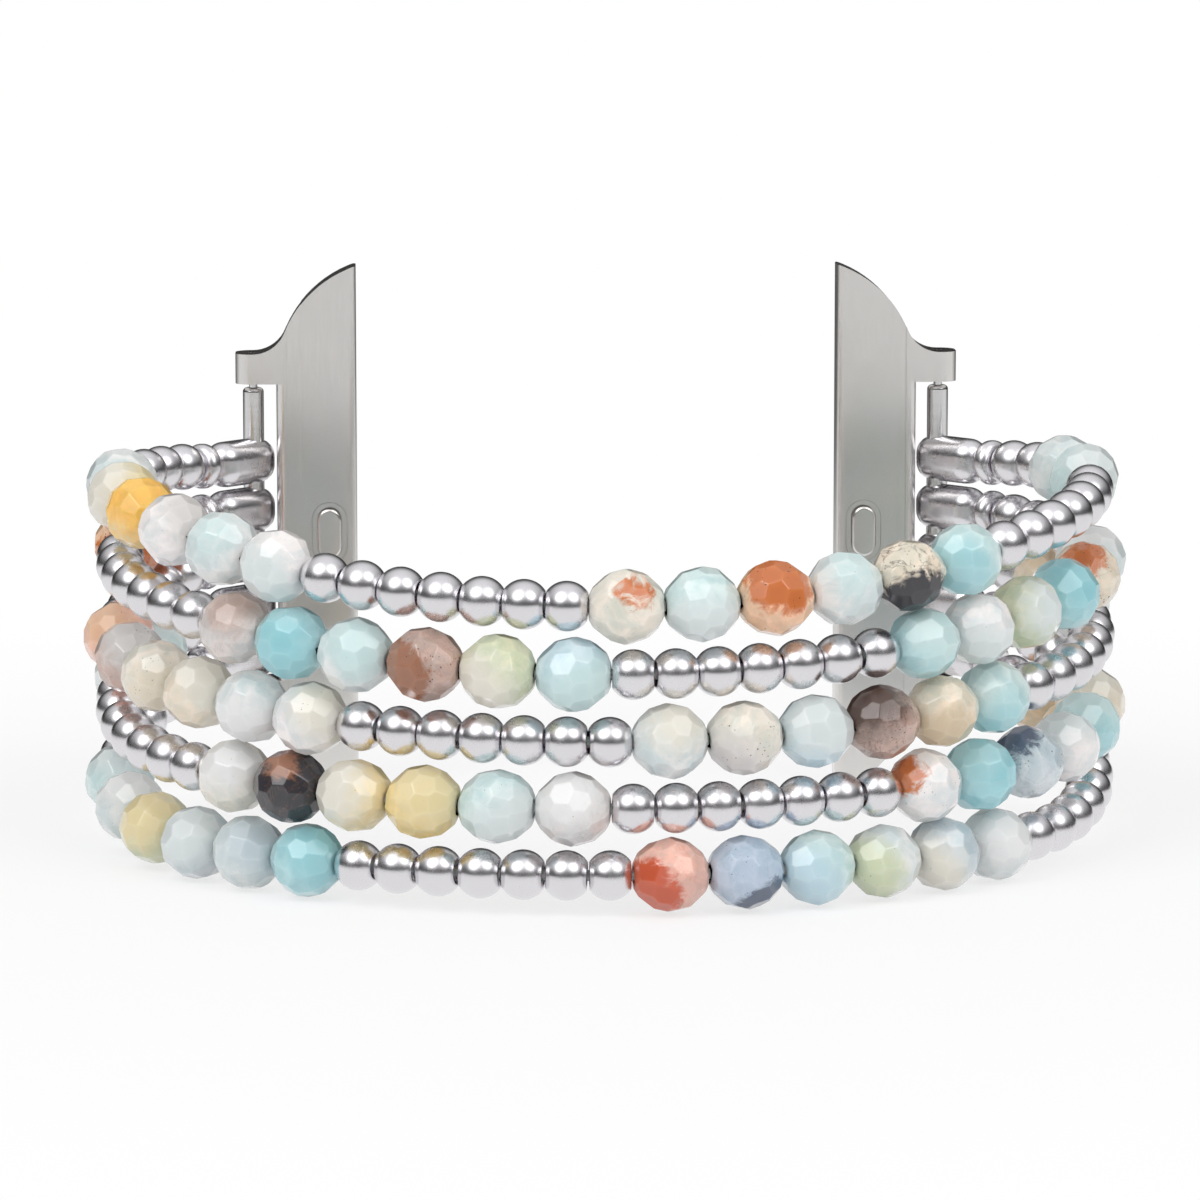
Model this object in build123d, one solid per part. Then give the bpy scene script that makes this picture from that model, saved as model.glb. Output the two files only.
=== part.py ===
from build123d import *
import math
import os

# Bead watch band: five elastic bead strands between two slide-in case adapters.
# Lengths in mm. X runs from the left adapter to the right one, Z is up, and the
# loop of strands reaches towards -Y from the two upright spring bars.

# case adapters
bar_half_spacing = 20.65
adapter_half_height = 16.05
outline_half_width = 16.45
outline_corner_radius = 7.0
recess_offset = 1.4
tongue_depth = 4.8
tongue_thickness = 2.7
tongue_edge_radius = 0.5
groove_start = 0.6
groove_width = 0.9
groove_depth = 0.35
ear_inner_half_gap = 9.0
ear_thickness = 1.8
ear_reach = 1.05
ear_corner_radius = 0.95
ear_flare_radius = 2.1
cut_overrun = 1.0

# spring bars
bar_diameter = 1.26
bar_bore_diameter = 0.98
bar_end_gap = 0.3
bar_lip_thickness = 0.4
bar_shoulder_radius = 0.28
tip_diameter = 0.5
tip_piston_length = 0.6
tip_reach_in_ear = 1.1
tip_end_radius = 0.15
tip_bore_clearance = 0.06
piston_clearance = 0.04
bar_spring_wire = 0.14
bar_spring_clearance = 0.06
bar_spring_pitch = 1.25

# lock in the middle of each tongue
button_length = 3.0
button_width = 1.4
button_protrusion = 0.6
button_flange = 0.3
button_flange_thickness = 0.35
button_edge_radius = 0.15
button_clearance = 0.06
lock_plate_thickness = 0.45
lock_floor_thickness = 0.55
lock_plate_clearance = 0.02
lock_spring_wire = 0.15
lock_spring_diameter = 1.1
lock_spring_turns = 2.5

# end links on the bars
link_height = 2.7
link_gap = 0.25
bottom_link_gap = 0.1
link_half_width = 1.25
link_reach = 3.7
link_edge_radius = 1.1
link_bore_clearance = 0.1
link_rim_width = 0.55
link_groove_width = 0.25
link_groove_depth = 0.15
knot_offset = 2.2
knot_radius = 0.62
knot_pocket_clearance = 0.12
link_mouth_radius = 0.62
link_throat_clearance = 0.15
knee_offset = 3.6
cover_offset = 3.95
cover_length = 1.1
cover_radius = 1.35
cover_edge_radius = 0.5

# strands and beads
strand_count = 5
cord_diameter = 0.6
stone_diameter = 3.95
stone_length = 4.04
stone_bore = 0.8
stone_pitch = 4.12
steel_diameter = 2.75
steel_length = 2.22
steel_bore = 0.9
steel_pitch = 2.316
cover_bore_clearance = 0.05
bead_row_start = 5.25
stones_per_run = 6
steels_per_run = 7
first_steel_runs = (4, 5, 5, 5, 5)
pattern_from_right = (False, True, False, True, False)

# route of the strands seen from above, and their heights at its corners
leg_angle = 47.7
front_angle = 44.4
knee_straight = 0.3
front_straight = 1.4
side_bend_radius = 18.3
front_bend_radius = 30.5
knee_bend_radius = 2.0
floor_clearance = 0.05
side_spacing = 5.0
front_spacing = 2.95
front_rise = 0.3

# facets of a stone: height and radius of each ring of corners, as shares of its
# half length and of its radius
facet_sides = 10
facet_height_shares = (-1.0, -0.6, -0.2, 0.2, 0.6, 1.0)
facet_radius_shares = (0.38, 0.79, 0.98, 0.98, 0.79, 0.38)
spin_step_angle = 137.5

# sizes that follow from the ones above
link_pitch = link_height + link_gap
bar_half_length = ear_inner_half_gap - bar_end_gap
link_bore_radius = bar_diameter / 2 + link_bore_clearance
tip_bore_radius = tip_diameter / 2 + tip_bore_clearance
piston_radius = bar_bore_diameter / 2 - piston_clearance
piston_top = bar_half_length - bar_lip_thickness
bar_spring_half_length = piston_top - tip_piston_length
tongue_start = -bar_half_spacing + recess_offset
button_x = tongue_start + (groove_start + groove_width + tongue_depth) / 2
wrist_face_y = -tongue_thickness / 2
lock_floor_y = tongue_thickness / 2 - lock_floor_thickness
bottom_link_height = -ear_inner_half_gap + bottom_link_gap + link_height / 2
bottom_side_height = -adapter_half_height + stone_diameter / 2 + floor_clearance
side_bend_half_turn = math.radians(180 - leg_angle - front_angle) / 2
side_bend_run = side_bend_radius * math.tan(side_bend_half_turn)
front_bend_run = front_bend_radius * math.tan(math.radians(front_angle))
leg_least_run = knee_offset + knee_straight + side_bend_run
front_least_run = side_bend_run + front_straight + front_bend_run
side_corner_x = max(
    bar_half_spacing + leg_least_run * math.cos(math.radians(leg_angle)),
    front_least_run * math.cos(math.radians(front_angle)),
)
side_corner_y = (side_corner_x - bar_half_spacing) * math.tan(math.radians(leg_angle))
front_corner_y = side_corner_y + side_corner_x * math.tan(math.radians(front_angle))


def plan_block(x_low, x_high, y_half, z_low, z_high):
    """Box between two X values, centred on Y, between two heights."""
    box = Box(x_high - x_low, 2 * y_half, z_high - z_low)
    return Pos((x_low + x_high) / 2, 0, (z_low + z_high) / 2) * box


def upright_rod(radius, z_low, z_high):
    """Cylinder on the left bar's axis between two heights."""
    rod = Cylinder(radius, z_high - z_low)
    return Pos(-bar_half_spacing, 0, (z_low + z_high) / 2) * rod


def slot_prism(length, width, y_low, y_high):
    """Round-ended block at the lock, long way upright, between two depths."""
    plane = Plane(origin=(button_x, y_high, 0), x_dir=(0, 0, 1), z_dir=(0, -1, 0))
    return extrude(plane * SlotOverall(length, width), y_high - y_low)


def side_outline():
    """Sketch of the adapter's round-cornered outline, seen from the front."""
    width = 2 * bar_half_spacing
    sketch = RectangleRounded(width, 2 * outline_half_width, outline_corner_radius)
    return Plane.XZ * Pos(tongue_start + width / 2, 0) * sketch


def tongue():
    """Grooved tongue that slides into the case slot."""
    height = 2 * adapter_half_height
    sketch = RectangleRounded(tongue_depth, tongue_thickness, tongue_edge_radius)
    body = extrude(Pos(tongue_start + tongue_depth / 2, 0) * sketch, height)
    body = Pos(0, 0, -adapter_half_height) * body
    groove_x = tongue_start + groove_start
    for side in (-1, 1):
        groove = plan_block(
            groove_x, groove_x + groove_width, groove_depth, -height, height
        )
        body -= Pos(0, side * tongue_thickness / 2, 0) * groove
    return body & extrude(side_outline(), tongue_thickness, both=True)


def ear():
    """Upper ear that carries the spring bar, flared into the tongue's outer edge."""
    low = ear_inner_half_gap
    high = low + ear_thickness
    outer_x = -bar_half_spacing - ear_reach
    root_x = tongue_start + groove_start
    corner_z = outline_half_width - outline_corner_radius
    flare_reach = outline_corner_radius + ear_flare_radius
    flare_rise = max(0, high + ear_flare_radius - corner_z)
    flare_run = math.sqrt(flare_reach**2 - flare_rise**2)
    flare_x = tongue_start + outline_corner_radius - flare_run
    flare_turn = math.degrees(math.asin(flare_run / flare_reach))
    with BuildSketch(Plane.XZ) as profile:
        with BuildLine():
            flare = JernArc((flare_x, high), (1, 0), ear_flare_radius, flare_turn)
            Polyline(flare @ 1, (root_x, low), (outer_x, low), (outer_x, high), flare @ 0)
        make_face()
    body = extrude(profile.sketch, tongue_thickness / 2, both=True)
    corners = body.edges().filter_by(Axis.Z).group_by(Axis.X)[0]
    return fillet(corners, ear_corner_radius)


def adapter():
    """One-piece left adapter: tongue, two ears, tip bores and lock pocket."""
    upper = ear()
    body = tongue() + upper + mirror(upper, about=Plane.XY)
    top = ear_inner_half_gap + ear_thickness + cut_overrun
    body -= upright_rod(tip_bore_radius, -top, top)
    pocket_length = button_length + 2 * (button_flange + button_clearance)
    pocket_width = button_width + 2 * (button_flange + button_clearance)
    body -= slot_prism(
        pocket_length, pocket_width, wrist_face_y - cut_overrun, lock_floor_y
    )
    return body


def lock_plate():
    """Plate pressed into the pocket's mouth, which keeps the button in."""
    trim = 2 * (button_flange + button_clearance - lock_plate_clearance)
    inner_y = wrist_face_y + lock_plate_thickness
    plate = slot_prism(button_length + trim, button_width + trim, wrist_face_y, inner_y)
    gap = 2 * button_clearance
    return plate - slot_prism(
        button_length + gap,
        button_width + gap,
        wrist_face_y - cut_overrun,
        inner_y + cut_overrun,
    )


def lock_button():
    """Sprung button that catches in the case, at rest standing proud."""
    inner_y = wrist_face_y + lock_plate_thickness
    outer_y = wrist_face_y - button_protrusion
    stem = slot_prism(button_length, button_width, outer_y, inner_y + button_flange_thickness)
    rim = stem.faces().sort_by(Axis.Y)[0].edges()
    stem = fillet(rim, button_edge_radius)
    flange_length = button_length + 2 * button_flange
    flange_width = button_width + 2 * button_flange
    return stem + slot_prism(
        flange_length, flange_width, inner_y, inner_y + button_flange_thickness
    )


def coil(radius, wire, height, pitch):
    """Round-wire spring standing on the XY plane."""
    path = Helix(pitch, height, radius)
    start = Plane(origin=path @ 0, z_dir=path % 0)
    return sweep(start * Circle(wire / 2), path)


def lock_spring():
    """Spring between the button's flange and the pocket's floor."""
    low = wrist_face_y + lock_plate_thickness + button_flange_thickness
    room = lock_floor_y - low - 2 * lock_spring_wire
    radius = (lock_spring_diameter - lock_spring_wire) / 2
    spring = coil(radius, lock_spring_wire, room, room / lock_spring_turns)
    plane = Plane(
        origin=(button_x, low + lock_spring_wire, 0), x_dir=(1, 0, 0), z_dir=(0, 1, 0)
    )
    return plane.location * spring


def bar_tube():
    """Spring bar tube with its ends rolled in over the tips."""
    tube = upright_rod(bar_diameter / 2, -bar_half_length, bar_half_length)
    tube = fillet(tube.edges().filter_by(GeomType.CIRCLE), bar_shoulder_radius)
    tube -= upright_rod(bar_bore_diameter / 2, -piston_top, piston_top)
    end = bar_half_length + cut_overrun
    return tube - upright_rod(tip_bore_radius, -end, end)


def bar_tip():
    """Upper sprung tip: a piston in the tube and a pin in the ear."""
    end = ear_inner_half_gap + tip_reach_in_ear
    pin = upright_rod(tip_diameter / 2, piston_top, end)
    pin = fillet(pin.edges().sort_by(Axis.Z)[-1], tip_end_radius)
    return pin + upright_rod(piston_radius, piston_top - tip_piston_length, piston_top)


def bar_spring():
    """Spring that pushes the two tips apart."""
    radius = bar_bore_diameter / 2 - bar_spring_clearance - bar_spring_wire / 2
    reach = bar_spring_half_length - bar_spring_wire
    spring = coil(radius, bar_spring_wire, 2 * reach, bar_spring_pitch)
    return Pos(-bar_half_spacing, 0, -reach) * spring


def link_angle(side):
    """Direction in plan of an end link, outboard from its bar; side is -1 for left."""
    reach_x = side * (side_corner_x - bar_half_spacing)
    return math.degrees(math.atan2(-side_corner_y, reach_x))


def link_height_at(index):
    """Height of a strand's end links on the bars; strand 0 is the top one."""
    return bottom_link_height + (strand_count - 1 - index) * link_pitch


def link_place(index, side):
    """Place of an end link: on its bar, with local X outboard along the link."""
    return Pos(side * bar_half_spacing, 0, link_height_at(index)) * Rot(Z=link_angle(side))


def link_slug(inset):
    """Solid rounded oval of an end link, smaller by an inset on every side."""
    run = link_reach - link_half_width
    plan = Pos(run / 2, 0) * SlotCenterToCenter(run, 2 * (link_half_width - inset))
    body = extrude(plan, link_height / 2 - inset, both=True)
    levels = body.edges().group_by(Axis.Z)
    return fillet(levels[0] + levels[-1], link_edge_radius - inset)


def end_link():
    """Polished oval end link: bore for the bar, rim, pocket for the cord's knot."""
    groove_x = -link_half_width + link_rim_width + link_groove_width / 2
    slab = Pos(groove_x, 0) * Box(link_groove_width, 2 * link_half_width, link_height)
    body = link_slug(0) - (slab - link_slug(link_groove_depth))
    body -= Cylinder(link_bore_radius, link_height + cut_overrun)
    body -= Pos(knot_offset, 0) * Sphere(knot_radius + knot_pocket_clearance)
    throat = cord_diameter / 2 + link_throat_clearance
    mouth_length = link_reach - knot_offset
    mouth = Rot(Y=90) * Cone(throat, link_mouth_radius, mouth_length)
    return body - Pos(knot_offset + mouth_length / 2, 0) * mouth


def side_height(index):
    """Height of the route's side corner."""
    return bottom_side_height + (strand_count - 1 - index) * side_spacing


def front_height(index):
    """Height of the route's front corner."""
    bottom = bottom_side_height + front_rise
    return bottom + (strand_count - 1 - index) * front_spacing


def strand_route(index):
    """Centre line of a strand's cord from its left knot to its right knot."""
    link = link_place(index, -1)
    knot = (link * Pos(knot_offset, 0)).position
    knee = (link * Pos(knee_offset, 0)).position
    side = Vector(-side_corner_x, -side_corner_y, side_height(index))
    front = Vector(0, -front_corner_y, front_height(index))
    left = [knot, knee, side]
    right = [Vector(-p.X, p.Y, p.Z) for p in reversed(left)]
    radii = [knee_bend_radius, side_bend_radius, front_bend_radius]
    radii += [side_bend_radius, knee_bend_radius]
    return FilletPolyline(*left, front, *right, radius=radii)


def elastic_cord(route):
    """Elastic cord with a knot at each end."""
    start = Plane(origin=route @ 0, z_dir=route % 0)
    cord = sweep(start * Circle(cord_diameter / 2), route)
    for end in (route @ 0, route @ 1):
        cord += Pos(end) * Sphere(knot_radius)
    return cord


def bead_sequence(index, room):
    """Kinds of bead along a strand: runs of steel and stone that fill the room."""
    kinds = ["steel"] * first_steel_runs[index]
    used = len(kinds) * steel_pitch
    run = ["stone"] * stones_per_run + ["steel"] * steels_per_run
    step = 0
    while used + stone_pitch + steel_pitch <= room:
        kind = run[step % len(run)]
        kinds.append(kind)
        used += stone_pitch if kind == "stone" else steel_pitch
        step += 1
    while used + steel_pitch <= room:
        kinds.append("steel")
        used += steel_pitch
    if pattern_from_right[index]:
        kinds.reverse()
    return kinds


def bead_places(index, route):
    """Kind, middle plane and number of each bead on a strand's cord."""
    start = bead_row_start - knot_offset
    room = route.length - 2 * start
    kinds = bead_sequence(index, room)
    pitches = [stone_pitch if kind == "stone" else steel_pitch for kind in kinds]
    play = (room - sum(pitches)) / (len(kinds) + 1)
    places = []
    distance = start + play
    for number, (kind, pitch) in enumerate(zip(kinds, pitches)):
        middle = (distance + pitch / 2) / route.length
        plane = Plane(origin=route @ middle, x_dir=(0, 0, 1), z_dir=route % middle)
        places.append((kind, plane, number))
        distance += pitch + play
    return places


def stone_bead():
    """Faceted round stone with its bore along Z."""
    rings = []
    for row, (rise, reach) in enumerate(zip(facet_height_shares, facet_radius_shares)):
        height = rise * stone_length / 2
        ring_radius = reach * stone_diameter / 2
        turn = math.pi / facet_sides * (row % 2)
        angles = [turn + 2 * math.pi * step / facet_sides for step in range(facet_sides)]
        rings.append(
            [Vector(ring_radius * math.cos(a), ring_radius * math.sin(a), height) for a in angles]
        )
    faces = [Face(Wire.make_polygon(rings[0])), Face(Wire.make_polygon(rings[-1]))]
    for row, (lower, upper) in enumerate(zip(rings, rings[1:])):
        for step in range(facet_sides):
            after = (step + 1) % facet_sides
            upper_tip, lower_tip = (step, after) if row % 2 == 0 else (after, step)
            triangles = (
                (lower[step], lower[after], upper[upper_tip]),
                (upper[step], upper[after], lower[lower_tip]),
            )
            faces += [Face(Wire.make_polygon(corners)) for corners in triangles]
    body = Solid(Shell(faces))
    return body - Cylinder(stone_bore / 2, stone_length + cut_overrun)


def steel_bead():
    """Round steel bead with flat ends and its bore along Z."""
    ball = Sphere(steel_diameter / 2)
    ball &= Cylinder(steel_diameter, steel_length)
    return ball - Cylinder(steel_bore / 2, steel_length + cut_overrun)


def cover_ring(index, route, mirrored):
    """Crimp cover ring between an end link and the first bead."""
    ring = Cylinder(cover_radius, cover_length)
    ring = fillet(ring.edges().filter_by(GeomType.CIRCLE), cover_edge_radius)
    ring -= Cylinder(cord_diameter / 2 + cover_bore_clearance, cover_length + cut_overrun)
    middle = (cover_offset + cover_length / 2 - knot_offset) / route.length
    plane = Plane(origin=route @ middle, x_dir=(0, 0, 1), z_dir=route % middle)
    left = plane.location * ring
    return mirror(left, about=Plane.YZ) if mirrored else left


def strand(index, stone, steel, link):
    """All pieces of one strand, by node name."""
    name = f"strand_{index + 1}"
    route = strand_route(index)
    beads = {"stone": [], "steel": []}
    for kind, plane, number in bead_places(index, route):
        shape = stone if kind == "stone" else steel
        spin = Rotation(0, 0, spin_step_angle * (number + index))
        beads[kind].append(plane.location * spin * shape)
    return {
        f"{name}_elastic_cord": elastic_cord(route),
        f"{name}_stone_beads": Compound(children=beads["stone"]),
        f"{name}_steel_beads": Compound(children=beads["steel"]),
        f"{name}_left_end_link": link_place(index, -1) * link,
        f"{name}_right_end_link": link_place(index, 1) * link,
        f"{name}_left_cover_ring": cover_ring(index, route, False),
        f"{name}_right_cover_ring": cover_ring(index, route, True),
    }


def side_hardware():
    """Pieces of the left adapter and its spring bar, by node name."""
    tip = bar_tip()
    return {
        "case_adapter": adapter(),
        "lock_plate": lock_plate(),
        "lock_button": lock_button(),
        "lock_spring": lock_spring(),
        "bar_tube": bar_tube(),
        "bar_upper_tip": tip,
        "bar_lower_tip": mirror(tip, about=Plane.XY),
        "bar_spring": bar_spring(),
    }


def build_all():
    """Every node of the band, by name."""
    nodes = {}
    for name, shape in side_hardware().items():
        nodes[f"left_{name}"] = shape
        nodes[f"right_{name}"] = mirror(shape, about=Plane.YZ)
    stone = stone_bead()
    steel = steel_bead()
    link = end_link()
    for index in range(strand_count):
        nodes.update(strand(index, stone, steel, link))
    return nodes


def main():
    """Place the origin under the band's middle, on the floor, and write the nodes."""
    nodes = build_all()
    boxes = [shape.bounding_box() for shape in nodes.values()]
    front = min(box.min.Y for box in boxes)
    back = max(box.max.Y for box in boxes)
    floor = min(box.min.Z for box in boxes)
    shift = Pos(0, -(front + back) / 2, -floor)
    os.makedirs("parts", exist_ok=True)
    for name, shape in nodes.items():
        export_step(shift * shape, f"parts/{name}.step")
    print(f"{len(nodes)} nodes, bar axes at y {shift.position.Y:.3f}, mid height {-floor:.3f}")


main()
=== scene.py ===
import bpy
import bmesh
import itertools
import math
import random
import numpy as np
from mathutils import Matrix, Vector


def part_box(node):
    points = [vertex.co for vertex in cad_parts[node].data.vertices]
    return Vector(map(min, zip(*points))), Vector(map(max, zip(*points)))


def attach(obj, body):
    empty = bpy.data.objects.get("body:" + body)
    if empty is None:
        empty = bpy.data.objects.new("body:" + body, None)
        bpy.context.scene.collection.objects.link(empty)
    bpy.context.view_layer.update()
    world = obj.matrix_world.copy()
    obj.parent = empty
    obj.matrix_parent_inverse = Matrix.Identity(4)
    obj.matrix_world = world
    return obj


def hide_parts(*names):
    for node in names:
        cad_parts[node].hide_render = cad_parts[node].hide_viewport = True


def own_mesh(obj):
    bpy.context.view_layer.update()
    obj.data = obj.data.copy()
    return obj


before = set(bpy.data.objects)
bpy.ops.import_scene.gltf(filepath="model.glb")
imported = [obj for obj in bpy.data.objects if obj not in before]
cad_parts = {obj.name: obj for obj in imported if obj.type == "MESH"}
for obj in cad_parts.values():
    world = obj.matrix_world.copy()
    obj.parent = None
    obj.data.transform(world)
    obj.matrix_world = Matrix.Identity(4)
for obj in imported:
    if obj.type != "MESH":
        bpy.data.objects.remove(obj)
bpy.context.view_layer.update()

MM = 0.001


# camera, fitted to the bead rows of the photo
CAMERA_PLACE = (-12.70, -331.846, 64.190)
CAMERA_FORWARD = (0.0364, 0.9884, -0.1478)


def make_camera():
    data = bpy.data.cameras.new("photo_camera")
    data.sensor_width = 36.0
    data.lens = 175.78
    data.clip_start = 0.01
    data.clip_end = 50.0
    camera = bpy.data.objects.new("photo_camera", data)
    bpy.context.scene.collection.objects.link(camera)
    camera.location = Vector(CAMERA_PLACE) * MM
    forward = Vector(CAMERA_FORWARD).normalized()
    camera.rotation_euler = forward.to_track_quat("-Z", "Y").to_euler()
    bpy.context.scene.camera = camera


# node helpers
class Nodes:
    """Short calls for building a material's node tree."""

    def __init__(self, tree):
        self.tree = tree

    def new(self, kind, **values):
        node = self.tree.nodes.new(kind)
        for name, value in values.items():
            setattr(node, name, value)
        return node

    def link(self, out, into):
        self.tree.links.new(out, into)

    def noise(self, vector, scale, detail=3.0, rough=0.55, distortion=0.0):
        node = self.new("ShaderNodeTexNoise")
        self.link(vector, node.inputs["Vector"])
        node.inputs["Scale"].default_value = scale
        node.inputs["Detail"].default_value = detail
        node.inputs["Roughness"].default_value = rough
        node.inputs["Distortion"].default_value = distortion
        return node.outputs["Fac"]

    def span(self, value, low, high, to_low=0.0, to_high=1.0, smooth=True):
        node = self.new("ShaderNodeMapRange")
        if smooth:
            node.interpolation_type = "SMOOTHSTEP"
        self.link(value, node.inputs["Value"])
        for name, number in (("From Min", low), ("From Max", high), ("To Min", to_low), ("To Max", to_high)):
            node.inputs[name].default_value = number
        return node.outputs["Result"]

    def math(self, operation, a, b=None):
        node = self.new("ShaderNodeMath", operation=operation)
        for socket, value in zip(node.inputs, (a, b)):
            if value is None:
                continue
            if isinstance(value, (int, float)):
                socket.default_value = value
            else:
                self.link(value, socket)
        return node.outputs[0]

    def mix(self, factor, a, b, blend="MIX"):
        node = self.new("ShaderNodeMix", data_type="RGBA", blend_type=blend)
        for socket, value in ((node.inputs[0], factor), (node.inputs[6], a), (node.inputs[7], b)):
            if isinstance(value, (int, float)):
                socket.default_value = value
            elif isinstance(value, tuple):
                socket.default_value = (*value, 1.0)
            else:
                self.link(value, socket)
        return node.outputs[2]


def new_material(name):
    """A material with a Principled shader, and helpers for its nodes."""
    material = bpy.data.materials.new(name)
    material.use_nodes = True
    tree = material.node_tree
    return material, Nodes(tree), tree.nodes["Principled BSDF"]


def object_space(nodes):
    return nodes.new("ShaderNodeTexCoord").outputs["Object"]


def bump(nodes, height, strength, distance, shader):
    node = nodes.new("ShaderNodeBump")
    node.inputs["Strength"].default_value = strength
    node.inputs["Distance"].default_value = distance
    nodes.link(height, node.inputs["Height"])
    nodes.link(node.outputs["Normal"], shader.inputs["Normal"])


# materials
def stone_material():
    """Waxy polished stone: each bead's own colours come from its mesh attributes."""
    material, nodes, shader = new_material("mixed_stone")
    where = object_space(nodes)

    def attribute(name):
        return nodes.new("ShaderNodeAttribute", attribute_name=name)

    tint = attribute("tint").outputs["Color"]
    patch = attribute("patch").outputs["Color"]
    marked = attribute("marks")
    marks = nodes.new("ShaderNodeSeparateColor")
    nodes.link(marked.outputs["Color"], marks.inputs[0])
    sharpness = marked.outputs["Alpha"]
    patch_pull, speck_amount, vein_amount = marks.outputs[0], marks.outputs[1], marks.outputs[2]

    # cloudy body: broad light and dark drifts inside the stone
    cloud = nodes.noise(where, 620.0, 5.0, 0.6, 0.6)
    lighter = nodes.mix(1.0, tint, (1.20, 1.12, 1.10), "MULTIPLY")
    darker = nodes.mix(1.0, tint, (0.91, 0.94, 0.95), "MULTIPLY")
    body = nodes.mix(nodes.span(cloud, 0.36, 0.66), darker, lighter)

    # second colour, spreading from the side it was placed on
    ragged = nodes.noise(where, 900.0, 6.0, 0.65, 1.0)
    reach = nodes.math("ADD", patch_pull, nodes.math("MULTIPLY", nodes.math("SUBTRACT", ragged, 0.5), 0.9))
    soft, sharp = nodes.span(reach, 0.15, 1.0), nodes.span(reach, 0.44, 0.64)
    border = nodes.math("ADD", soft, nodes.math("MULTIPLY", nodes.math("SUBTRACT", sharp, soft), sharpness))
    body = nodes.mix(border, body, patch)

    # fine veins
    vein_noise = nodes.noise(where, 480.0, 4.0, 0.6, 2.2)
    vein = nodes.math("ABSOLUTE", nodes.math("SUBTRACT", vein_noise, 0.5))
    vein = nodes.math("MULTIPLY", nodes.span(vein, 0.0, 0.022, 1.0, 0.0), vein_amount)
    body = nodes.mix(vein, body, patch)

    # dark specks
    speck = nodes.new("ShaderNodeTexVoronoi")
    nodes.link(where, speck.inputs["Vector"])
    speck.inputs["Scale"].default_value = 4300.0
    size = nodes.noise(where, 700.0, 2.0)
    limit = nodes.math("MULTIPLY", nodes.math("MULTIPLY", speck_amount, 0.62), nodes.span(size, 0.42, 0.62))
    frayed = nodes.math("MULTIPLY", nodes.math("SUBTRACT", nodes.noise(where, 6000.0, 2.0), 0.5), 0.5)
    nearness = nodes.math("SUBTRACT", limit, nodes.math("ADD", speck.outputs["Distance"], frayed))
    spot = nodes.span(nearness, -0.06, 0.10)
    body = nodes.mix(spot, body, (0.075, 0.045, 0.035))
    nodes.link(body, shader.inputs["Base Color"])

    # polished facets with faint handling haze
    haze = nodes.noise(where, 1500.0, 3.0)
    nodes.link(nodes.span(haze, 0.3, 0.75, 0.10, 0.24), shader.inputs["Roughness"])
    shader.inputs["IOR"].default_value = 1.53
    shader.inputs["Subsurface Weight"].default_value = 0.85
    shader.inputs["Subsurface Radius"].default_value = (1.0, 1.0, 1.0)
    shader.inputs["Subsurface Scale"].default_value = 0.0018
    shader.inputs["Coat Weight"].default_value = 0.35
    shader.inputs["Coat Roughness"].default_value = 0.05

    # tiny chips left by the cutting, on some facets only
    chips = nodes.span(nodes.noise(where, 8200.0, 2.0, 0.7), 0.42, 0.58)
    frosted = nodes.span(nodes.noise(where, 520.0, 1.0), 0.50, 0.62, 0.06, 0.60)
    relief = nodes.math("ADD", nodes.math("MULTIPLY", chips, frosted), nodes.noise(where, 1800.0, 3.0))
    bump(nodes, relief, 0.16, 0.00003, shader)
    return material


def steel_material(name, colour, low_rough, high_rough, streak=None, dent=0.004):
    """Polished or satin steel. streak gives the scale of a brushed grain on each axis."""
    material, nodes, shader = new_material(name)
    where = object_space(nodes)
    if streak:
        mapping = nodes.new("ShaderNodeMapping")
        nodes.link(where, mapping.inputs["Vector"])
        mapping.inputs["Scale"].default_value = streak
        grain = nodes.noise(mapping.outputs["Vector"], 1.0, 4.0, 0.6)
    else:
        grain = nodes.noise(where, 1400.0, 4.0, 0.6)
    smear = nodes.noise(where, 260.0, 3.0)
    rough = nodes.math("MULTIPLY", nodes.math("ADD", grain, smear), 0.5)
    nodes.link(nodes.span(rough, 0.35, 0.65, low_rough, high_rough), shader.inputs["Roughness"])
    tone = nodes.mix(nodes.span(smear, 0.3, 0.7), tuple(0.97 * c for c in colour), colour)
    nodes.link(tone, shader.inputs["Base Color"])
    shader.inputs["Metallic"].default_value = 1.0
    bump(nodes, grain, dent, 0.00002, shader)
    return material


def cord_material():
    """Clear elastic cord, milky where it is stretched."""
    material, nodes, shader = new_material("elastic_cord")
    where = object_space(nodes)
    strands = nodes.noise(where, 3200.0, 2.0)
    tone = nodes.mix(nodes.span(strands, 0.35, 0.65), (0.70, 0.70, 0.68), (0.86, 0.86, 0.84))
    nodes.link(tone, shader.inputs["Base Color"])
    nodes.link(nodes.span(strands, 0.3, 0.7, 0.28, 0.42), shader.inputs["Roughness"])
    shader.inputs["Subsurface Weight"].default_value = 0.4
    shader.inputs["Subsurface Scale"].default_value = 0.0006
    bump(nodes, strands, 0.25, 0.00003, shader)
    return material


# mesh helpers
def mesh_object(name, mesh, material, body):
    """A smooth shaded piece that rides on a body."""
    for polygon in mesh.polygons:
        polygon.use_smooth = True
    thing = bpy.data.objects.new(name, mesh)
    bpy.context.scene.collection.objects.link(thing)
    mesh.materials.append(material)
    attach(thing, body)
    return thing


def weld_numbers(points):
    """The number of each point's place, shared by points within a micrometre, and their count."""
    keys = {}
    weld = np.array([keys.setdefault(tuple(np.round(p * 1e6).astype(int)), len(keys)) for p in points])
    return weld, len(keys)


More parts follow.
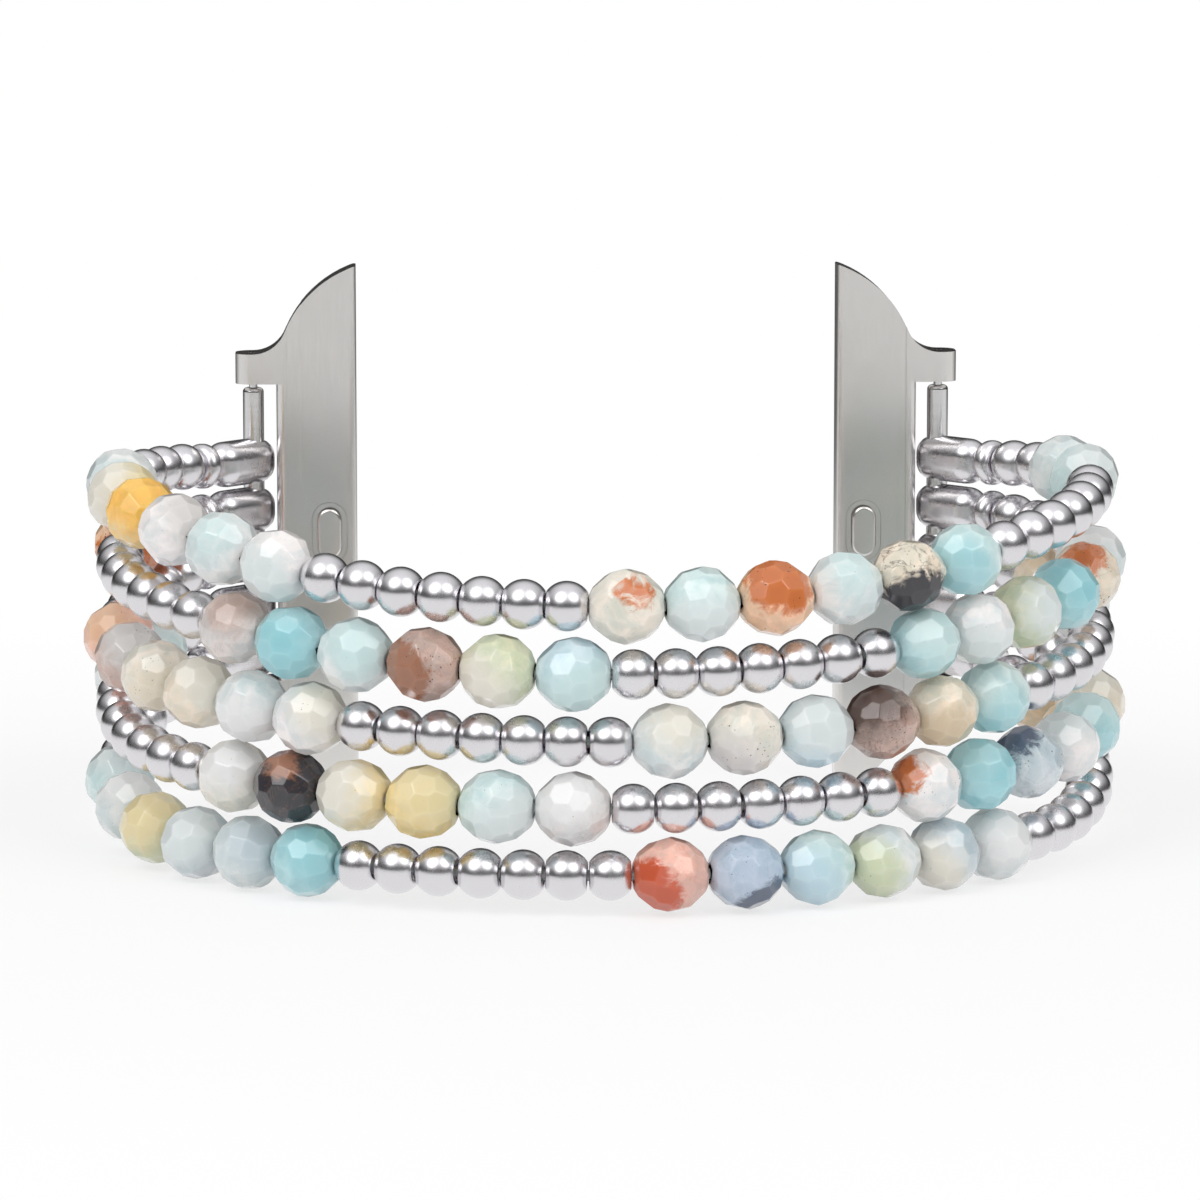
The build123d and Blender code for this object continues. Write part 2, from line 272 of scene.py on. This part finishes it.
def loose_parts(node):
    """The separate solids of a CAD node as arrays of welded points, in metres."""
    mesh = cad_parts[node].data
    points = np.array([v.co for v in mesh.vertices])
    weld, places = weld_numbers(points)
    parent = list(range(places))

    def root(i):
        while parent[i] != i:
            parent[i] = parent[parent[i]]
            i = parent[i]
        return i

    for edge in mesh.edges:
        a, b = root(weld[edge.vertices[0]]), root(weld[edge.vertices[1]])
        parent[a] = b
    spots = np.zeros((places, 3))
    spots[weld] = points
    groups = {}
    for index in range(places):
        groups.setdefault(root(index), []).append(index)
    return [spots[members] for members in groups.values()]


def along_strand(centre):
    """Grows from the left bar round the front to the right bar."""
    return math.atan2(centre[0], -centre[1])


def bead_list(strand):
    """(kind, centre, axis) of each bead of a strand, from left to right."""
    beads = []
    for kind in ("stone", "steel"):
        for points in loose_parts(f"strand_{strand}_{kind}_beads"):
            centre = (points.min(0) + points.max(0)) / 2 if kind == "steel" else points.mean(0)
            beads.append([kind, Vector(centre)])
    beads.sort(key=lambda bead: along_strand(bead[1]))
    placed = []
    for index, (kind, centre) in enumerate(beads):
        before = beads[max(index - 1, 0)]
        after = beads[min(index + 1, len(beads) - 1)]
        placed.append((kind, centre, (after[1] - before[1]).normalized()))
    return placed


# stones
def srgb(red, green, blue):
    """Linear colour from the 0 to 255 numbers a colour is usually given in."""
    shares = [c / 255 for c in (red, green, blue)]
    return tuple(c / 12.92 if c <= 0.04045 else ((c + 0.055) / 1.055) ** 2.4 for c in shares)


TONES = {
    "aqua": srgb(170, 210, 215),
    "deep_aqua": srgb(154, 204, 211),
    "pale_aqua": srgb(198, 220, 220),
    "sky": srgb(192, 216, 225),
    "mist": srgb(213, 221, 221),
    "white": srgb(226, 227, 227),
    "grey_white": srgb(208, 205, 203),
    "ivory": srgb(222, 219, 208),
    "cream": srgb(222, 213, 196),
    "sand": srgb(208, 190, 162),
    "pale_yellow": srgb(224, 210, 168),
    "yellow": srgb(226, 204, 144),
    "amber": srgb(238, 188, 96),
    "yellow_green": srgb(204, 211, 182),
    "peach": srgb(230, 192, 162),
    "rust": srgb(200, 120, 70),
    "pink": srgb(226, 184, 170),
    "red_clay": srgb(198, 96, 66),
    "brown": srgb(156, 110, 86),
    "taupe": srgb(186, 164, 154),
    "dark_brown": srgb(92, 72, 64),
    "black": srgb(56, 55, 60),
    "slate": srgb(92, 104, 124),
    "blue_grey": srgb(176, 193, 209),
    "pale_blue_grey": srgb(196, 208, 213),
}

SHARP_PATCHES = ("rust", "red_clay", "brown", "black", "slate")

# one stone: body colour, second colour, where the second colour lies, how far out it
# starts (-1 is everywhere, 1 is nowhere), dark specks, veins
PLAIN = (0, 0, 1)
STONES = {
    1: [
        ("mist", "white", PLAIN, 1.3, 0, 0),
        ("pale_yellow", "ivory", (-1, -0.2, 0.4), 0.1, 0, 0),
        ("amber", "pale_yellow", (-0.5, -0.4, -0.8), 0.85, 0, 0),
        ("white", "grey_white", (0.5, -0.5, 0.6), 0.5, 0.1, 0),
        ("mist", "pale_aqua", (-0.4, -0.7, 0.7), 0.8, 0, 0),
        ("white", "mist", (-0.6, -0.6, -0.4), 0.3, 0, 0),
        ("ivory", "rust", (0.22, -0.78, 0.50), 0.86, 0.12, 0),
        ("pale_aqua", "mist", (0.1, -0.6, -0.8), 0.3, 0, 0),
        ("peach", "rust", (0.1, -0.65, 0.72), 0.45, 0.35, 0),
        ("mist", "pale_aqua", (0.3, -0.6, 0.7), 0.7, 0, 0),
        ("cream", "black", (0.25, -0.5, -0.8), 0.34, 0.25, 0.6),
        ("pale_aqua", "aqua", (-0.3, -0.7, -0.4), 0.2, 0, 0),
        ("pale_aqua", "mist", (0.5, -0.6, 0.5), 0.3, 0, 0),
        ("mist", "pale_aqua", (0.5, -0.6, -0.5), 0.3, 0, 0),
    ],
    2: [
        ("rust", "sand", (0, -0.6, 0.8), 0.3, 0.3, 0),
        ("peach", "rust", (0, -0.6, -0.8), 0.2, 0.3, 0),
        ("grey_white", "taupe", (-0.1, -0.5, 0.9), 0.55, 0.12, 0.3),
        ("aqua", "deep_aqua", (-0.6, -0.6, -0.3), 0.2, 0, 0),
        ("mist", "pale_aqua", (0.2, -0.7, 0.4), 0.4, 0, 0),
        ("taupe", "brown", (-0.8, -0.45, -0.2), 0.45, 0.3, 0.3),
        ("yellow_green", "ivory", (-0.6, -0.6, -0.5), 0.4, 0, 0),
        ("sky", "pale_aqua", (0.3, -0.6, -0.6), 0.2, 0, 0.1),
        ("aqua", "pale_aqua", (0.5, -0.6, 0.5), 0.3, 0, 0),
        ("white", "mist", (0.2, -0.6, -0.7), 0.3, 0, 0),
        ("yellow_green", "mist", (0.6, -0.5, 0.2), 0.5, 0, 0),
        ("aqua", "deep_aqua", (0.5, -0.5, 0.6), 0.3, 0, 0),
        ("cream", "rust", (-0.1, -0.6, 0.8), 0.75, 0.3, 0.3),
        ("mist", "white", PLAIN, 0.4, 0, 0),
    ],
    3: [
        ("pink", "peach", (-0.4, -0.5, 0.6), 0.5, 0.1, 0),
        ("taupe", "grey_white", (0.2, -0.6, 0.7), 0.3, 0.2, 0.3),
        ("ivory", "cream", (0.2, -0.6, -0.7), 0.2, 0.2, 0),
        ("cream", "ivory", (0.4, -0.6, 0.6), 0.3, 0, 0),
        ("mist", "white", (-0.3, -0.6, -0.6), 0.4, 0, 0),
        ("white", "ivory", (0.4, -0.6, 0.5), 0.4, 0.1, 0.2),
        ("mist", "ivory", (0.2, -0.6, 0.8), 0.5, 0, 0),
        ("ivory", "grey_white", (-0.4, -0.5, -0.7), 0.4, 0.25, 0),
        ("sky", "mist", (0.4, -0.6, 0.6), 0.1, 0, 0),
        ("taupe", "dark_brown", (-0.35, -0.5, 0.8), 0.36, 0.25, 0.5),
        ("cream", "sand", (0.1, -0.6, -0.8), 0.4, 0, 0.3),
        ("pale_aqua", "aqua", (0.2, -0.6, -0.6), 0.5, 0, 0),
        ("mist", "white", PLAIN, 0.4, 0, 0),
        ("cream", "sand", PLAIN, 0.4, 0, 0),
    ],
    4: [
        ("pale_aqua", "mist", PLAIN, 0.4, 0, 0),
        ("mist", "pale_aqua", PLAIN, 0.4, 0, 0),
        ("ivory", "white", (-0.3, -0.6, 0.7), 0.4, 0.1, 0),
        ("black", "brown", (-0.25, -0.45, 0.9), 0.78, 0.1, 0.2),
        ("pale_yellow", "ivory", (-0.7, -0.6, 0.3), 0.35, 0, 0),
        ("yellow", "pale_yellow", (0.3, -0.7, 0.5), 0.2, 0, 0.2),
        ("pale_aqua", "mist", (0.4, -0.6, -0.5), 0.3, 0.05, 0.7),
        ("grey_white", "white", (-0.3, -0.7, 0.5), 0.4, 0.1, 0.5),
        ("white", "rust", (-0.62, -0.62, 0.5), 0.84, 0.2, 0),
        ("deep_aqua", "aqua", (-0.5, -0.5, 0.7), 0.3, 0, 0),
        ("pale_blue_grey", "slate", (-0.5, -0.3, 0.8), 0.66, 0.25, 0.2),
        ("white", "mist", PLAIN, 0.3, 0, 0),
        ("aqua", "pale_aqua", PLAIN, 0.2, 0, 0),
        ("cream", "ivory", PLAIN, 0.3, 0, 0),
    ],
    5: [
        ("pale_aqua", "mist", PLAIN, 0.4, 0, 0),
        ("mist", "white", PLAIN, 0.4, 0, 0),
        ("yellow_green", "pale_yellow", (-0.4, -0.6, 0.6), 0.3, 0, 0),
        ("pale_blue_grey", "mist", (-0.5, -0.6, 0.5), 0.3, 0, 0),
        ("mist", "pale_blue_grey", (0.3, -0.6, 0.6), 0.2, 0, 0.1),
        ("aqua", "deep_aqua", (0.5, -0.6, 0.5), 0.3, 0, 0.1),
        ("pink", "red_clay", (-0.62, -0.62, -0.35), 0.52, 0.06, 0.2),
        ("blue_grey", "slate", (0.45, -0.2, -0.85), 0.58, 0.2, 0.1),
        ("pale_aqua", "sky", (-0.4, -0.6, -0.4), 0.3, 0, 0),
        ("mist", "yellow_green", (-0.5, -0.6, -0.3), 0.3, 0.12, 0),
        ("pale_blue_grey", "ivory", (-0.5, -0.6, -0.5), 0.3, 0, 0),
        ("mist", "white", (0.4, -0.6, 0.6), 0.3, 0, 0),
        ("cream", "sand", PLAIN, 0.4, 0, 0),
        ("sand", "peach", PLAIN, 0.4, 0, 0),
    ],
}

STONE_RADIUS = 1.975 * MM
STONE_HALF_LENGTH = 2.04 * MM
STONE_BORE = 0.4 * MM
STONE_GROWTH = 0.05 * MM
STEEL_RADIUS = 1.375 * MM
STEEL_HALF_LENGTH = 1.135 * MM
STEEL_BORE = 0.45 * MM
STEEL_LIP = 0.05 * MM
STEEL_STEPS = 40
STEEL_LEAN = 0.05
BEAD_RADII = {"stone": STONE_RADIUS, "steel": STEEL_RADIUS}
BORE_STEPS = 16
FACET_ROUNDING = 0.25 * MM
STONE_SHAPES = 8
# each row of facets: latitude in degrees, count, turn in facets, distance from the middle in mm
FACET_ROWS = (
    (14, 11, 0.0, 1.93), (-14, 11, 0.5, 1.93),
    (40, 10, 0.5, 1.98), (-40, 10, 0.0, 1.98),
    (63, 7, 0.0, 2.10), (-63, 7, 0.5, 2.10),
)


def facet_planes(chance):
    """Unit normals of a stone's facets and their distances from its middle."""
    planes = [((0, 0, 1), STONE_HALF_LENGTH), ((0, 0, -1), STONE_HALF_LENGTH)]
    for latitude, count, offset, distance in FACET_ROWS:
        for step in range(count):
            turn = 2 * math.pi * (step + offset) / count + math.radians(chance.uniform(-4.0, 4.0))
            rise = math.radians(latitude + chance.uniform(-3.5, 3.5))
            normal = (math.cos(turn) * math.cos(rise), math.sin(turn) * math.cos(rise), math.sin(rise))
            planes.append((normal, distance * MM * (1 + chance.uniform(-0.017, 0.015))))
    return np.array([plane[0] for plane in planes]), np.array([plane[1] for plane in planes])


def rounded_hull(normals, distances):
    """Mesh of the solid inside all planes with its edges rounded, and each point's normal."""
    inner = distances - FACET_ROUNDING
    trios = np.array(list(itertools.combinations(range(len(inner)), 3)))
    trios = trios[np.abs(np.linalg.det(normals[trios])) > 0.01]
    corners = np.linalg.solve(normals[trios], inner[trios][..., None])[..., 0]
    kept = (corners @ normals.T <= inner + 1e-9).all(axis=1)
    bm = bmesh.new()
    facing = bm.verts.layers.float_vector.new("facing")
    for corner, trio in zip(corners[kept], trios[kept]):
        own = normals[trio]
        around = np.vstack([own, own + own[[1, 2, 0]], own.sum(0)])
        around /= np.linalg.norm(around, axis=1, keepdims=True)
        for direction in around:
            vert = bm.verts.new((corner + FACET_ROUNDING * direction) / MM)
            vert[facing] = direction
    bmesh.ops.convex_hull(bm, input=bm.verts[:])
    bmesh.ops.delete(bm, geom=[v for v in bm.verts if not v.link_faces], context="VERTS")
    return bm, facing


def cut_stone(seed):
    """One hand-cut faceted stone bored along Z, as (points, normals, faces)."""
    bm, facing = rounded_hull(*facet_planes(random.Random(seed)))
    rims = []
    for sign in (1, -1):
        pole = {f for f in bm.faces if all(sign * v[facing].z > 0.999 for v in f.verts)}
        outer = [e for e in bm.edges if sum(f in pole for f in e.link_faces) == 1]
        bmesh.ops.delete(bm, geom=list(pole), context="FACES")
        turns = [2 * math.pi * i / BORE_STEPS for i in range(BORE_STEPS)]
        ring = [
            bm.verts.new(
                Vector((STONE_BORE * math.cos(a), STONE_BORE * math.sin(a), sign * STONE_HALF_LENGTH)) / MM
            )
            for a in turns
        ]
        for vert in ring:
            vert[facing] = (0, 0, sign)
        rim = [bm.edges.new((ring[i], ring[(i + 1) % BORE_STEPS])) for i in range(BORE_STEPS)]
        bmesh.ops.bridge_loops(bm, edges=outer + rim)
        rims += rim
    bmesh.ops.bridge_loops(bm, edges=rims)
    bm.normal_update()
    for face in bm.faces:
        middle = face.calc_center_median()
        in_bore = math.hypot(middle.x, middle.y) < STONE_BORE / MM
        if (face.normal.dot(middle) > 0) == in_bore:
            face.normal_flip()
    bm.verts.index_update()
    points = np.array([v.co for v in bm.verts]) * MM
    normals = np.array([v[facing] for v in bm.verts])
    faces = [[v.index for v in f.verts] for f in bm.faces]
    bm.free()
    return points, normals, faces


def turned(axis, spin):
    """Rotation that lays local Z along axis, after a spin about it."""
    return axis.to_track_quat("Z", "Y").to_matrix() @ Matrix.Rotation(spin, 3, "Z")


def stone_growth(centre, strand, rows):
    """How much fuller than usual a stone is cut, less where another strand lies close."""
    room = min(
        (centre - other).length - STONE_RADIUS - BEAD_RADII[kind]
        for number, row in rows.items() if number != strand
        for kind, other, axis in row
    )
    return max(-STONE_GROWTH, min(STONE_GROWTH, 0.45 * (room - 0.12 * MM)))


def stone_beads(strand, rows, body, shapes, material):
    """The faceted stones of a strand as one piece, each stone with its own colours."""
    chance = random.Random(40 + strand)
    stones = [bead for bead in rows[strand] if bead[0] == "stone"]
    points, normals, faces, tints, patches, marks = [], [], [], [], [], []
    for (kind, centre, axis), look in zip(stones, STONES[strand]):
        tint, patch, side, start, specks, veins = look
        shape_points, shape_normals, shape_faces = shapes[chance.randrange(len(shapes))]
        rotation = np.array(turned(axis, chance.uniform(0, 2 * math.pi)))
        width = (1 + stone_growth(centre, strand, rows) / STONE_RADIUS) * chance.uniform(0.985, 1.0)
        local = shape_points * (width, width, chance.uniform(0.99, 1.005)) @ rotation.T
        base = len(points)
        toward = np.array(Vector(side).normalized())
        pull = 0.5 + 0.9 * (local @ toward / STONE_RADIUS - start)
        points.extend(local + np.array(centre))
        normals.extend(shape_normals @ rotation.T)
        faces.extend([[base + i for i in face] for face in shape_faces])
        tints.extend([(*TONES[tint], 1.0)] * len(local))
        patches.extend([(*TONES[patch], 1.0)] * len(local))
        sharpness = 1.0 if patch in SHARP_PATCHES else 0.0
        marks.extend([(value, specks, veins, sharpness) for value in pull])
    mesh = bpy.data.meshes.new(f"strand_{strand}_stones")
    mesh.from_pydata([tuple(p) for p in points], [], faces)
    for name, values in (("tint", tints), ("patch", patches), ("marks", marks)):
        layer = mesh.color_attributes.new(name, "FLOAT_COLOR", "POINT")
        layer.data.foreach_set("color", np.array(values, np.float32).ravel())
    mesh.update()
    thing = mesh_object(f"strand_{strand}_faceted_stones", mesh, material, body)
    mesh.normals_split_custom_set_from_vertices([tuple(n) for n in normals])
    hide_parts(f"strand_{strand}_stone_beads")


# steel beads
def lathe(profile, steps):
    """Points and faces of a profile of (radius, height) pairs turned about Z."""
    points = [
        (r * math.cos(2 * math.pi * s / steps), r * math.sin(2 * math.pi * s / steps), z)
        for r, z in profile for s in range(steps)
    ]
    faces = []
    for row in range(len(profile)):
        after = (row + 1) % len(profile)
        for s in range(steps):
            t = (s + 1) % steps
            faces.append([row * steps + s, row * steps + t, after * steps + t, after * steps + s])
    return np.array(points), faces


def bead_profile(radius, half_length, bore, lip):
    """Closed half section of a round bead with softly rounded ends."""
    end_angle = math.acos(half_length / radius)
    rim = radius * math.sin(end_angle)
    outside = [
        (radius * math.sin(a), -radius * math.cos(a))
        for a in (end_angle + (math.pi - 2 * end_angle) * i / 22 for i in range(23))
    ]
    top = [
        (rim - lip, half_length + 0.15 * lip),
        (bore + lip, half_length + 0.1 * lip),
        (bore, half_length - lip),
    ]
    return outside + top + [(r, -z) for r, z in reversed(top)]


def steel_beads(strand, rows, body, material):
    """The polished steel beads of a strand as one piece."""
    chance = random.Random(90 + strand)
    profile = bead_profile(STEEL_RADIUS, STEEL_HALF_LENGTH, STEEL_BORE, STEEL_LIP)
    shape_points, shape_faces = lathe(profile, STEEL_STEPS)
    points, faces = [], []
    for kind, centre, axis in rows[strand]:
        if kind != "steel":
            continue
        lean_x = Matrix.Rotation(chance.uniform(-STEEL_LEAN, STEEL_LEAN), 3, "X")
        tilt = lean_x @ Matrix.Rotation(chance.uniform(-STEEL_LEAN, STEEL_LEAN), 3, "Y")
        rotation = np.array(turned(axis, chance.uniform(0, 2 * math.pi)) @ tilt)
        base = len(points)
        points.extend(shape_points @ rotation.T + np.array(centre))
        faces.extend([[base + i for i in face] for face in shape_faces])
    mesh = bpy.data.meshes.new(f"strand_{strand}_steels")
    mesh.from_pydata([tuple(p) for p in points], [], faces)
    bm = bmesh.new()
    bm.from_mesh(mesh)
    bmesh.ops.recalc_face_normals(bm, faces=bm.faces)
    bm.to_mesh(mesh)
    bm.free()
    thing = mesh_object(f"strand_{strand}_polished_beads", mesh, material, body)
    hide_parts(f"strand_{strand}_steel_beads")


# carried-over CAD nodes
def shade_smooth(mesh, sharp_angle):
    """Shades a triangle mesh smooth except at sharp edges, with its points left as they are."""
    points = np.array([v.co for v in mesh.vertices])
    weld, _ = weld_numbers(points)
    corners = np.empty(len(mesh.loops), int)
    mesh.loops.foreach_get("vertex_index", corners)
    corners = corners.reshape(-1, 3)
    sides = np.stack([points[corners[:, (i + 1) % 3]] - points[corners[:, i]] for i in range(3)], axis=1)
    normals = np.cross(sides[:, 0], sides[:, 1])
    normals /= np.maximum(np.linalg.norm(normals, axis=1, keepdims=True), 1e-15)
    sides /= np.maximum(np.linalg.norm(sides, axis=2, keepdims=True), 1e-15)
    cosines = [-(sides[:, i] * sides[:, i - 1]).sum(1) for i in range(3)]
    weights = np.stack([np.arccos(np.clip(cosine, -1, 1)) for cosine in cosines], axis=1)
    meeting = {}
    for corner, key in enumerate(weld[corners.ravel()]):
        meeting.setdefault(key, []).append(corner)
    limit = math.cos(math.radians(sharp_angle))
    weights = weights.ravel()
    smooth = np.empty((corners.size, 3))
    for group in meeting.values():
        around = normals[np.array(group) // 3]
        near = (around @ around.T > limit) * weights[group]
        mean = near @ around
        smooth[group] = mean / np.maximum(np.linalg.norm(mean, axis=1, keepdims=True), 1e-15)
    for polygon in mesh.polygons:
        polygon.use_smooth = True
    mesh.normals_split_custom_set([tuple(n) for n in smooth])


def dress(nodes, material, sharp_angle=35.0):
    """Gives CAD nodes a material and smooth shading that keeps their edges."""
    for name in nodes:
        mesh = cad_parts[name].data
        mesh.materials.clear()
        mesh.materials.append(material)
        shade_smooth(mesh, sharp_angle)


# springs
def spring(node, body, axis, fixed_end, end, material, name, cut=False):
    """A coil spring made from its CAD node along axis (1 is Y, 2 is Z), running from fixed_end towards end.

    With cut, only the part of it on end's side of fixed_end is made.
    """
    bm = bmesh.new()
    bm.from_mesh(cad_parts[node].data)
    bmesh.ops.remove_doubles(bm, verts=bm.verts, dist=1e-7)
    low, high = (Vector(corner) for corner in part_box(node))
    anchor = (low + high) / 2
    anchor[axis] = fixed_end
    direction = Vector((0, 0, 0))
    direction[axis] = math.copysign(1.0, end - fixed_end)
    if cut:
        whole = bm.verts[:] + bm.edges[:] + bm.faces[:]
        made = bmesh.ops.bisect_plane(bm, geom=whole, plane_co=anchor, plane_no=-direction, clear_outer=True)
        rim = [e for e in made["geom_cut"] if isinstance(e, bmesh.types.BMEdge)]
        bmesh.ops.contextual_create(bm, geom=rim)
    bmesh.ops.triangulate(bm, faces=bm.faces)
    bmesh.ops.recalc_face_normals(bm, faces=bm.faces)
    mesh = bpy.data.meshes.new(name)
    bm.to_mesh(mesh)
    bm.free()
    thing = mesh_object(name, mesh, material, body)
    shade_smooth(mesh, 35.0)
    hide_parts(node)
    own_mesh(thing)


def make_springs(side, material):
    """The lock spring of a side, and its bar spring in two halves, one for each tip."""
    body = f"{side}_adapter"
    low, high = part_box(f"{side}_lock_spring")
    node, joint = f"{side}_lock_spring", f"{side}_lock_button_press"
    spring(node, body, 1, high[1], low[1], material, f"{side}_lock_coil")
    low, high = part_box(f"{side}_bar_spring")
    middle = (low[2] + high[2]) / 2
    for half, end in (("upper", high[2]), ("lower", low[2])):
        node, joint = f"{side}_bar_spring", f"{side}_bar_{half}_tip_press"
        spring(node, body, 2, middle, end, material, f"{side}_bar_{half}_coil", cut=True)


# studio
KEY_SIDE = (-0.46, -0.52, 0.72)
FILL_SIDE = (0.48, -0.53, 0.70)
LAMP_DISTANCE = 0.75
# lamp: name, direction, diameter in m, power in W
LAMPS = (
    ("key", KEY_SIDE, 0.46, 1.75),
    ("fill", FILL_SIDE, 0.46, 1.40),
    ("top", (0.08, 0.32, 0.94), 0.40, 0.15),
)
# brightness that steel reflects, by height: 0 is straight down, 0.5 the horizon, 1 straight up
MIRROR_STOPS = (
    (0.0, 0.7), (0.495, 0.7), (0.50, 0.02), (0.57, 0.03),
    (0.66, 0.17), (0.80, 0.55), (1.0, 0.9),
)
# soft light that steel reflects: direction, brightness of its wide edge and of its middle
SOFT_LIGHTS = ((KEY_SIDE, 0.9, 2.4), (FILL_SIDE, 0.35, 2.0))
FLOOR_REACH = 3.0


def make_world():
    """White for the camera, soft grey for the shading, and a dark horizon for the steel."""
    world = bpy.data.worlds.new("studio")
    bpy.context.scene.world = world
    world.use_nodes = True
    nodes = Nodes(world.node_tree)
    out = world.node_tree.nodes["World Output"]
    ambient = world.node_tree.nodes["Background"]
    where = nodes.new("ShaderNodeTexCoord").outputs["Generated"]
    split = nodes.new("ShaderNodeSeparateXYZ")
    nodes.link(where, split.inputs[0])
    ramp = nodes.new("ShaderNodeValToRGB")
    nodes.link(nodes.span(split.outputs["Z"], -1.0, 1.0, smooth=False), ramp.inputs[0])
    elements = ramp.color_ramp.elements
    while len(elements) < len(MIRROR_STOPS):
        elements.new(0.5)
    for element, (place, level) in zip(elements, MIRROR_STOPS):
        element.position = place
        element.color = (level, level, level * 1.01, 1.0)
    ambient.inputs["Strength"].default_value = 0.62
    ambient.inputs["Color"].default_value = (1.0, 0.98, 0.965, 1.0)
    mirror = nodes.new("ShaderNodeBackground")
    behind = nodes.span(split.outputs["Y"], 0.50, 0.97, 1.0, 0.12)
    shown = nodes.mix(1.0, ramp.outputs[0], behind, "MULTIPLY")
    for toward, halo, core in SOFT_LIGHTS:
        nearness = nodes.new("ShaderNodeVectorMath", operation="DOT_PRODUCT")
        nodes.link(where, nearness.inputs[0])
        nearness.inputs[1].default_value = toward
        for low, high, level in ((0.84, 0.98, halo), (0.93, 0.985, core)):
            glow = nodes.span(nearness.outputs["Value"], low, high, 0.0, level)
            shown = nodes.mix(1.0, shown, glow, "ADD")
    nodes.link(shown, mirror.inputs["Color"])
    seen = nodes.new("ShaderNodeBackground")
    seen.inputs["Color"].default_value = (1.0, 1.0, 1.0, 1.0)
    path = nodes.new("ShaderNodeLightPath")
    first = nodes.new("ShaderNodeMixShader")
    second = nodes.new("ShaderNodeMixShader")
    nodes.link(path.outputs["Is Glossy Ray"], first.inputs[0])
    nodes.link(ambient.outputs[0], first.inputs[1])
    nodes.link(mirror.outputs[0], first.inputs[2])
    direct = nodes.math("MAXIMUM", path.outputs["Is Camera Ray"], path.outputs["Is Transmission Ray"])
    nodes.link(direct, second.inputs[0])
    nodes.link(first.outputs[0], second.inputs[1])
    nodes.link(seen.outputs[0], second.inputs[2])
    nodes.link(second.outputs[0], out.inputs[0])


def make_floor():
    """Pale floor that keeps the shadow near the band and fades to white further out, and glows as a painted
    reflection for glossy rays.
    """
    mesh = bpy.data.meshes.new("floor")
    corners = [(x * FLOOR_REACH, y * FLOOR_REACH, 0) for x, y in ((-1, -1), (1, -1), (1, 1), (-1, 1))]
    mesh.from_pydata(corners, [], [(0, 1, 2, 3)])
    floor = bpy.data.objects.new("floor", mesh)
    bpy.context.scene.collection.objects.link(floor)
    material, nodes, shader = new_material("floor")
    shader.inputs["Base Color"].default_value = (0.90, 0.90, 0.92, 1.0)
    shader.inputs["Roughness"].default_value = 0.9
    shader.inputs["Specular IOR Level"].default_value = 0.1
    away = nodes.new("ShaderNodeVectorMath", operation="LENGTH")
    nodes.link(object_space(nodes), away.inputs[0])
    glow = nodes.new("ShaderNodeEmission")
    path = nodes.new("ShaderNodeLightPath")
    depth = nodes.new("ShaderNodeSeparateXYZ")
    nodes.link(object_space(nodes), depth.inputs[0])
    # painted reflection: glossy rays see the floor glowing white near the band and darker further behind,
    # which paints dark lower rims on the steel
    behind = nodes.span(depth.outputs["Y"], 0.03, 0.22, 0.92, 0.10)
    colour = nodes.mix(path.outputs["Is Glossy Ray"], (1.0, 1.0, 1.0), behind)
    nodes.link(colour, glow.inputs["Color"])
    plain = nodes.span(away.outputs["Value"], 0.035, 0.10, 0.72, 1.0)
    fade = nodes.math("MULTIPLY", plain, path.outputs["Is Camera Ray"])
    fade = nodes.math("MAXIMUM", fade, path.outputs["Is Glossy Ray"])
    both = nodes.new("ShaderNodeMixShader")
    nodes.link(fade, both.inputs[0])
    nodes.link(shader.outputs[0], both.inputs[1])
    nodes.link(glow.outputs[0], both.inputs[2])
    nodes.link(both.outputs[0], material.node_tree.nodes["Material Output"].inputs[0])
    mesh.materials.append(material)


def make_lamps():
    """Soft lamps for the shading. The world holds what the steel reflects of them."""
    for name, toward, size, power in LAMPS:
        data = bpy.data.lights.new(name, "AREA")
        data.shape = "DISK"
        data.size = size
        data.energy = power
        lamp = bpy.data.objects.new(name, data)
        bpy.context.scene.collection.objects.link(lamp)
        lamp.location = Vector(toward) * LAMP_DISTANCE
        lamp.rotation_euler = (-lamp.location).to_track_quat("-Z", "Y").to_euler()
        lamp.visible_glossy = False


def main():
    bpy.context.scene.view_settings.view_transform = "Standard"
    make_camera()
    make_world()
    make_floor()
    make_lamps()
    stone = stone_material()
    mirror = steel_material("polished_steel", (0.80, 0.785, 0.81), 0.24, 0.29)
    satin = steel_material("satin_steel", (0.80, 0.78, 0.76), 0.23, 0.27, (14000, 14000, 900), 0.006)
    bar = steel_material("bar_steel", (0.74, 0.73, 0.73), 0.14, 0.20, (300, 300, 6000), 0.006)
    wire = steel_material("spring_wire", (0.58, 0.58, 0.60), 0.18, 0.28)
    cord = cord_material()
    shapes = [cut_stone(seed) for seed in range(STONE_SHAPES)]
    rows = {strand: bead_list(strand) for strand in range(1, 6)}
    for strand in range(1, 6):
        body = f"strand_{strand}" if strand < 5 else "bottom_strand"
        stone_beads(strand, rows, body, shapes, stone)
        steel_beads(strand, rows, body, mirror)
        dress([f"strand_{strand}_elastic_cord"], cord)
        pieces = [f"{side}_{piece}" for side in ("left", "right") for piece in ("end_link", "cover_ring")]
        dress([f"strand_{strand}_{piece}" for piece in pieces], mirror)
    for side in ("left", "right"):
        dress([f"{side}_{piece}" for piece in ("case_adapter", "lock_plate", "lock_button")], satin)
        dress([f"{side}_{piece}" for piece in ("bar_tube", "bar_upper_tip", "bar_lower_tip")], bar)
        make_springs(side, wire)


main()
